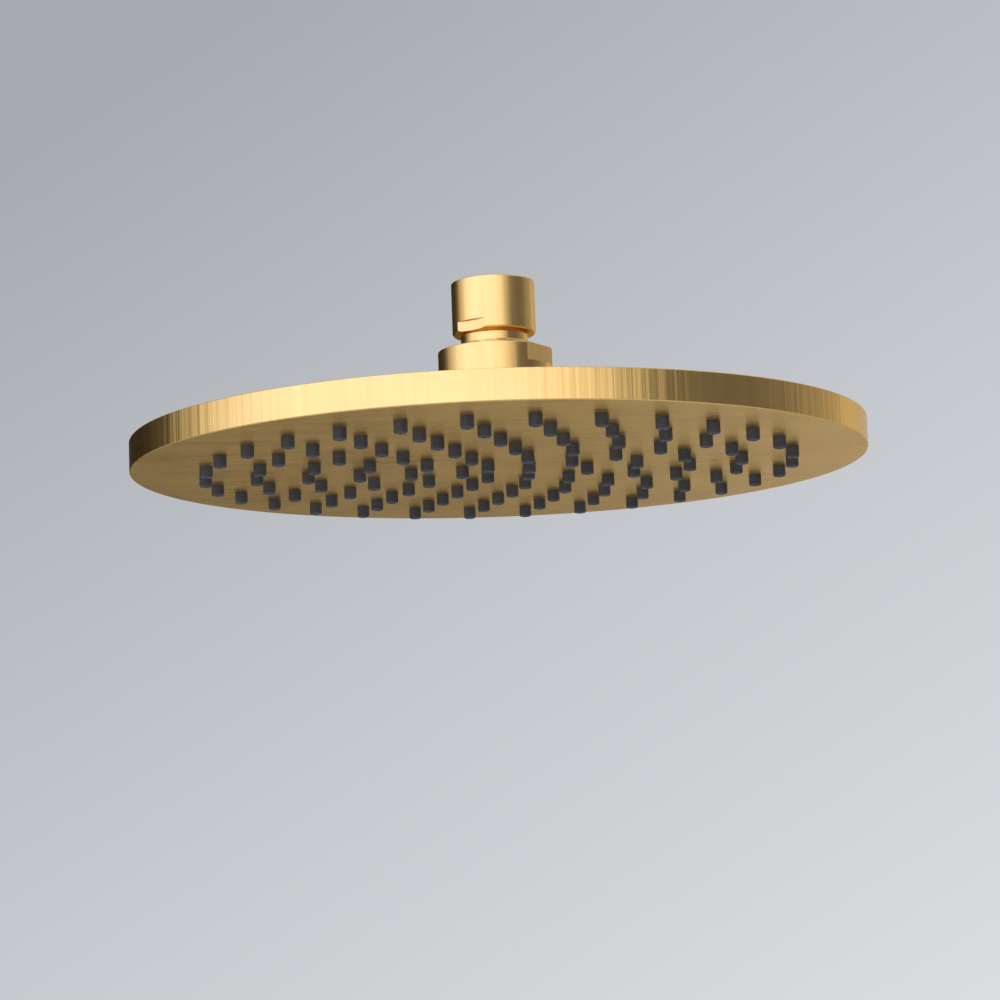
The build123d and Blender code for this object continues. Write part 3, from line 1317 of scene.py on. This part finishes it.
@dataclass
class Screen(Panel):
    """A cloth screen beside the set, which the brass mirrors and the camera doesn't see."""

    tint: Colour = (1.0, 0.97, 0.93)
    dim_tint: Colour = (1.0, 0.97, 0.93)
    high: float = 1.0

    def brightest(self) -> float:
        """Return 1, because a screen's tones are the colours of its cloth."""
        return 1.0

    def cloth(self) -> Material:
        """Make the cloth.

        Returns:
            A matt material with the screen's tones.
        """
        made, graph = new_material(self.name)
        across = graph.add("ShaderNodeTexCoord").outputs["UV"]
        colour = self.shaded(graph, across)
        graph.surface({"Base Color": colour, "Roughness": MATT, "Specular IOR Level": 0.0})
        return made

    def build(self) -> None:
        """Put up the screen."""
        mesh = bmesh.new()
        mesh.loops.layers.uv.new("across")
        bmesh.ops.create_grid(mesh, x_segments=1, y_segments=1, size=0.5, calc_uvs=True)
        bmesh.ops.scale(mesh, vec=(self.width(), self.height(), 1.0), verts=mesh.verts[:])
        bmesh.ops.transform(mesh, matrix=self.place(), verts=mesh.verts[:])
        screen = add_object(self.name, mesh, self.cloth())
        screen.visible_camera = False


@dataclass
class Studio:
    """A plain pale room with a floor, soft lamps, cloth screens and the photograph's camera.

    Attributes:
        far_wall: Colour of the room at the upper left.
        near_wall: Colour of the room at the lower right.
        paler_towards: Direction in which the room gets paler.
        far_end: How far in that direction the far colour ends.
        near_start: How far in that direction the near colour starts.
        ceiling: Colour of the room overhead.
        ceiling_start: Height, as a share of straight up, where the ceiling starts to show.
        ceiling_full: Height, as a share of straight up, where it is all that shows.
        floor_colour: Colour of the floor's paper.
        floor_height: Height of the floor.
        floor_r: Radius of the floor.
        floor_steps: Number of edges round the floor.
        key_low: Lower edge of the lamps in front.
        camera_distance: How far the camera stands in front of the axis.
        camera_height: Height of the camera.
        camera_pitch: How far it looks up, in radians.
        camera_roll: How far it leans, in radians.
        camera_yaw: How far it looks aside, in radians.
        lens: Its focal length in millimetres.
        sensor: Its picture's width in millimetres.
        clip_start: How near it sees.
    """

    far_wall: Colour = (0.386, 0.407, 0.434)
    near_wall: Colour = (0.86, 0.875, 0.9)
    paler_towards: Triple = (0.5, 0.0, -0.87)
    far_end: float = -0.32
    near_start: float = 0.33
    ceiling: Colour = (0.75, 0.77, 0.8)
    ceiling_start: float = 0.38
    ceiling_full: float = 0.7
    floor_colour: Colour = (0.85, 0.82, 0.77)
    floor_height: float = -0.95
    floor_r: float = 5.0
    floor_steps: int = 96
    key_low: float = -0.3
    camera_distance: float = 0.74234
    camera_height: float = -0.168117
    camera_pitch: float = 0.1442
    camera_roll: float = -0.0367
    camera_yaw: float = 0.00014
    lens: float = 99.19
    sensor: float = 36.0
    clip_start: float = 0.01

    def build_world(self) -> None:
        """Give the room its pale light, which falls off towards the upper left under a paler ceiling."""
        world = bpy.data.worlds.new("studio_room")
        bpy.context.scene.world = world
        world.use_nodes = True
        graph = Graph(world.node_tree)
        towards = graph.add("ShaderNodeTexCoord").outputs["Generated"]
        slope = {0: towards, 1: self.paler_towards}
        fall = graph.add("ShaderNodeVectorMath", slope, operation="DOT_PRODUCT").outputs["Value"]
        nearer = graph.spread(fall, 0.0, 1.0, self.far_end, self.near_start)
        wall = graph.mixed(nearer, self.far_wall, self.near_wall)
        height = graph.coordinate(towards, "Z")
        overhead = graph.spread(height, 0.0, 1.0, self.ceiling_start, self.ceiling_full)
        room = graph.mixed(overhead, wall, self.ceiling)
        sky = graph.add("ShaderNodeBackground", {"Color": room, "Strength": 1.0})
        graph.add("ShaderNodeOutputWorld", {"Surface": sky.outputs["Background"]})

    def build_floor(self) -> None:
        """Lay the floor."""
        mesh = bmesh.new()
        level = Matrix.Translation((0.0, 0.0, self.floor_height))
        bmesh.ops.create_circle(
            mesh, cap_ends=True, radius=self.floor_r, segments=self.floor_steps, matrix=level
        )
        floor = add_object("floor", mesh, StudioPaper("floor_paper", self.floor_colour).material())

    def build_lights(self) -> None:
        """Put up the lamps and the screens, whose tones are what the brass mirrors at each bearing."""
        left = (
            (-111.0, 0.0), (-100.0, 0.31), (-91.0, 0.7), (-80.0, 1.04),
            (-69.0, 1.22), (-47.0, 1.3), (-28.0, 1.27),
        )
        front = (
            (-28.0, 1.27), (-14.0, 1.24), (-1.0, 1.13), (10.0, 0.94),
            (22.0, 0.66), (33.0, 0.24), (40.0, 0.09), (50.0, 0.0),
        )
        top = (-54.0, 0.9), (-6.0, 0.9)
        right = (
            (38.0, 0.74), (45.0, 0.5), (53.0, 0.28), (62.0, 0.24),
            (78.0, 0.235), (90.0, 0.33), (100.0, 0.46), (111.0, 0.62),
            (126.0, 0.84),
        )
        rear_left = (
            (-184.0, 0.45), (-180.0, 0.3), (-177.0, 0.24), (-171.0, 0.18),
            (-160.0, 0.045), (-135.0, 0.045), (-122.0, 0.09), (-112.0, 0.25),
        )
        rear_right = (126.0, 0.9), (150.0, 0.95), (166.0, 0.85), (172.0, 0.66), (176.0, 0.5)
        Softbox("key_left", left, low=self.key_low).build()
        Softbox("key_front", front, low=self.key_low).build()
        Softbox("key_top", top, distance=1.7, low=-0.7, high=0.7, rise=62.0).build()
        Screen("screen_right", right).build()
        Screen("screen_left", rear_left).build()
        Screen("screen_back", rear_right, high=0.0).build()

    def build_camera(self) -> None:
        """Set up the camera at the photograph's viewing angle."""
        data = bpy.data.cameras.new("photo_camera")
        data.lens = self.lens
        data.sensor_width = self.sensor
        data.clip_start = self.clip_start
        camera = bpy.data.objects.new("photo_camera", data)
        camera.matrix_world = (
            Matrix.Translation((0.0, -self.camera_distance, self.camera_height))
            @ Matrix.Rotation(self.camera_yaw, 4, "Z")
            @ Matrix.Rotation(math.radians(QUARTER_TURN_DEGREES) + self.camera_pitch, 4, "X")
            @ Matrix.Rotation(self.camera_roll, 4, "Z")
        )
        bpy.context.scene.collection.objects.link(camera)
        bpy.context.scene.camera = camera

    def build(self) -> None:
        """Build the whole set."""
        bpy.context.scene.view_settings.view_transform = "Standard"
        self.build_world()
        self.build_floor()
        self.build_lights()
        self.build_camera()


def clear_start() -> None:
    """Take away what a new Blender file starts with."""
    for thing in list(bpy.data.objects):
        bpy.data.objects.remove(thing)


def main() -> None:
    """Build the shower head and its studio."""
    logging.basicConfig(level=logging.INFO, format="%(name)s %(message)s")
    clear_start()
    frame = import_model()
    finishes = Finishes.make()
    InletNut(finishes).build()
    CollarNut(finishes).build()
    Spigot(finishes).build()
    SprayHead(finishes).build()
    InnerPieces(finishes, frame["nodes"]).dress()
    Studio().build()


if __name__ == "__main__":
    main()
